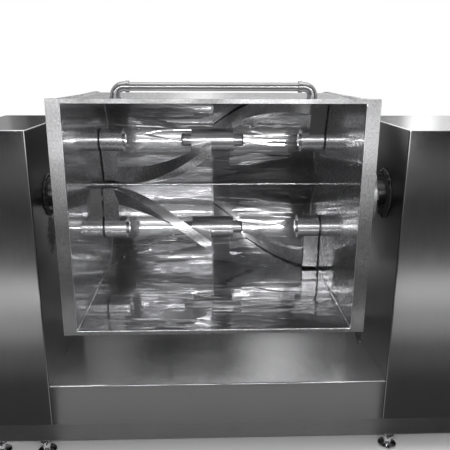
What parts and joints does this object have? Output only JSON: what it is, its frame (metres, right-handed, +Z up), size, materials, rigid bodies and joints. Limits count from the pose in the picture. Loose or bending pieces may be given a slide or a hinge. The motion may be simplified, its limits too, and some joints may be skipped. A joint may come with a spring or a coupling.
{
  "type": "horizontal dough mixer",
  "caption": "Tilting dough mixer: a trough with a W-shaped bottom and helical rotors, tipped forward on trunnions between sheet-steel drive cabinets with a table below.",
  "frame": {"origin": "floor level, in the middle of the machine's footprint", "axes": "+X along the trough to the operator's right, +Y to the back, +Z up"},
  "size_m": [1.935, 0.7918, 1.374],
  "materials": {
    "panel_sheet": "satin",
    "trough_sheet": "polished",
    "polished_steel": "polished",
    "rotor_steel": "polished",
    "gear_steel": "satin",
    "machine_paint": "satin",
    "foot_steel": "satin",
    "rubber": "matte",
    "panel_plastic": "satin",
    "red_plastic": "gloss",
    "green_plastic": "gloss"
  },
  "bodies": {
    "base": {"base_frame": "machine_paint", "levelling_feet": "foot_steel", "left_cabinet_shell": "panel_sheet", "right_cabinet_shell": "panel_sheet", "discharge_table": "panel_sheet", "bearing_posts": "machine_paint", "trunnion_bearings": "gear_steel", "trunnion_rings": "rubber", "tilt_gearbox": "machine_paint", "tilt_motor": "machine_paint", "main_motor": "machine_paint", "motor_plate": "machine_paint", "drive_belts": "rubber", "main_reducer": "machine_paint", "reducer_shelf": "machine_paint", "control_panel": "panel_plastic", "button_bezels": "panel_plastic", "door_hinge_pins": "polished_steel", "cable_gland": "panel_plastic"},
    "trough": {"trough_shell": "trough_sheet", "left_end_plate": "trough_sheet", "right_end_plate": "trough_sheet", "mouth_rim": "trough_sheet", "rim_lug": "trough_sheet", "ridge_stiffener": "trough_sheet", "handle_tube": "polished_steel", "handle_elbows": "polished_steel", "left_trunnion": "rotor_steel", "right_trunnion": "rotor_steel", "gear_case": "gear_steel", "rotor_bearings": "gear_steel", "shaft_seals": "rubber", "idler_pin": "gear_steel"},
    "lower_rotor": {"lower_rotor_arms": "rotor_steel", "lower_left_blade": "rotor_steel", "lower_right_blade": "rotor_steel", "lower_centre_hub": "rotor_steel", "lower_rotor_shafts": "rotor_steel", "lower_rotor_gear": "gear_steel"},
    "upper_rotor": {"upper_rotor_arms": "rotor_steel", "upper_left_blade": "rotor_steel", "upper_right_blade": "rotor_steel", "upper_centre_hub": "rotor_steel", "upper_rotor_shafts": "rotor_steel", "upper_rotor_gear": "gear_steel"},
    "idler": {"idler_gear": "gear_steel"},
    "drive": {"drive_shaft": "rotor_steel", "drive_gear": "gear_steel", "shaft_coupling": "gear_steel"},
    "motor_wheel": {"motor_pulley": "gear_steel"},
    "reducer_wheel": {"reducer_pulley": "gear_steel"},
    "left_door": {"left_rear_door": "panel_sheet"},
    "right_door": {"right_rear_door": "panel_sheet"},
    "left_latch": {"left_door_latch": "polished_steel"},
    "right_latch": {"right_door_latch": "polished_steel"},
    "start": {"start_button": "green_plastic"},
    "stop": {"stop_button": "red_plastic"},
    "emergency": {"emergency_stop": "red_plastic"},
    "selector": {"tilt_selector": "panel_plastic"},
    "dial": {"timer_dial": "panel_plastic"}
  },
  "joints": [
    {"name": "trough_tilt", "type": "hinge", "parent": "base", "child": "trough", "pos_m": [-0.1085, 0.00788, 0.967], "axis": [1, 0, 0], "range_deg": [-90, 0]},
    {"name": "lower_rotor_spin", "type": "hinge", "parent": "trough", "child": "lower_rotor", "pos_m": [-0.1085, 0.17212, 0.792], "axis": [1, 0, 0], "continuous": true},
    {"name": "upper_rotor_spin", "type": "hinge", "parent": "trough", "child": "upper_rotor", "pos_m": [-0.1085, 0.17212, 1.142], "axis": [1, 0, 0], "continuous": true},
    {"name": "idler_spin", "type": "hinge", "parent": "trough", "child": "idler", "pos_m": [0.3715, 0.17258, 0.977], "axis": [1, 0, 0], "continuous": true},
    {"name": "drive_spin", "type": "hinge", "parent": "trough", "child": "drive", "pos_m": [0.3715, 0.00788, 0.967], "axis": [1, 0, 0], "continuous": true},
    {"name": "reducer_pulley_spin", "type": "hinge", "parent": "base", "child": "reducer_wheel", "pos_m": [0.8815, 0.00788, 0.967], "axis": [1, 0, 0], "continuous": true},
    {"name": "motor_pulley_spin", "type": "hinge", "parent": "base", "child": "motor_wheel", "pos_m": [0.8815, 0.00788, 0.29], "axis": [1, 0, 0], "continuous": true},
    {"name": "left_door_swing", "type": "hinge", "parent": "base", "child": "left_door", "pos_m": [-0.9615, 0.35688, 0.6795], "axis": [0, 0, 1], "range_deg": [0, 110]},
    {"name": "right_door_swing", "type": "hinge", "parent": "base", "child": "right_door", "pos_m": [0.9615, 0.35688, 0.6795], "axis": [0, 0, 1], "range_deg": [-110, 0]},
    {"name": "left_latch_turn", "type": "hinge", "parent": "left_door", "child": "left_latch", "pos_m": [-0.7445, 0.35588, 0.6795], "axis": [0, 1, 0], "range_deg": [-90, 0]},
    {"name": "right_latch_turn", "type": "hinge", "parent": "right_door", "child": "right_latch", "pos_m": [0.5645, 0.35588, 0.6795], "axis": [0, 1, 0], "range_deg": [0, 90]},
    {"name": "start_push", "type": "slide", "parent": "base", "child": "start", "axis": [0, 1, 0], "range_m": [0, 0.005], "stiffness_N_per_m": 400},
    {"name": "stop_push", "type": "slide", "parent": "base", "child": "stop", "axis": [0, 1, 0], "range_m": [0, 0.005], "stiffness_N_per_m": 400},
    {"name": "emergency_push", "type": "slide", "parent": "base", "child": "emergency", "axis": [0, 1, 0], "range_m": [0, 0.004]},
    {"name": "selector_turn", "type": "hinge", "parent": "base", "child": "selector", "pos_m": [0.8995, -0.20212, 0.919], "axis": [0, 1, 0], "range_deg": [-45, 45]},
    {"name": "dial_turn", "type": "hinge", "parent": "base", "child": "dial", "pos_m": [0.8395, -0.20212, 1.043], "axis": [0, 1, 0], "range_deg": [0, 300]}
  ],
  "couplings": [
    {"joint": "upper_rotor_spin", "follows": "lower_rotor_spin", "ratio": -1},
    {"joint": "drive_spin", "follows": "lower_rotor_spin", "ratio": -1},
    {"joint": "idler_spin", "follows": "lower_rotor_spin", "ratio": 2.6667},
    {"joint": "reducer_pulley_spin", "follows": "lower_rotor_spin", "ratio": -25},
    {"joint": "motor_pulley_spin", "follows": "lower_rotor_spin", "ratio": -45.161}
  ]
}
